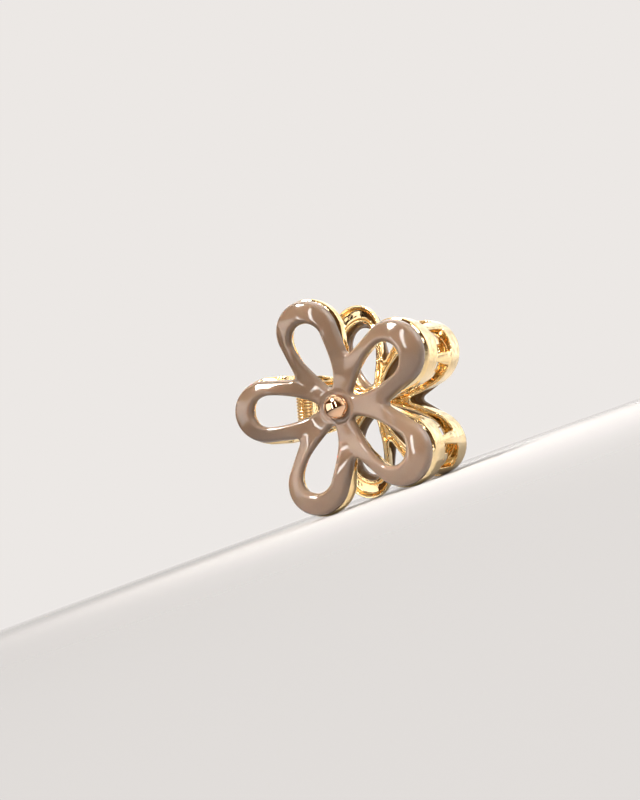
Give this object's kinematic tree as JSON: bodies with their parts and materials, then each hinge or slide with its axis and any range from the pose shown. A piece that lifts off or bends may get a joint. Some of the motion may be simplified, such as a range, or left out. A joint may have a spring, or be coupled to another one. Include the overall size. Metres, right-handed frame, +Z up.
{
  "type": "flower claw clip",
  "caption": "Hair claw clip made as two open flower plates on gold metal frames, with curved jaw teeth, a pinned hinge and a closing torsion spring.",
  "frame": {"origin": "on the ground under the hub, midway between the two halves", "axes": "+Z up, -Y out of the front flower, +X towards the jaw side; the clip stands on the rims of its two lowest petals"},
  "size_m": [0.073, 0.0512, 0.0705],
  "materials": {
    "gold_plating": "bright pale gold plating on cast zinc",
    "ball_gold": "mirror polished warm gold plating",
    "taupe_resin": "high gloss taupe resin"
  },
  "bodies": {
    "front_half": {"front_frame": "gold_plating", "front_flower_plate": "taupe_resin", "front_ball_cap": "ball_gold", "front_rivet_post": "gold_plating", "hinge_pin": "gold_plating", "hinge_pin_cap": "gold_plating", "torsion_spring": "gold_plating"},
    "rear_half": {"rear_frame": "gold_plating", "rear_flower_plate": "taupe_resin", "rear_ball_cap": "ball_gold", "rear_rivet_post": "gold_plating"}
  },
  "joints": [
    {"name": "jaw_hinge", "type": "hinge", "parent": "front_half", "child": "rear_half", "pos_m": [-0.02225, 0, 0.03996], "axis": [0.309, 0, 0.9511], "range_deg": [0, 50], "stiffness_Nm_per_rad": 0.1, "springref_deg": -34.38, "deforming": ["torsion_spring"]}
  ]
}
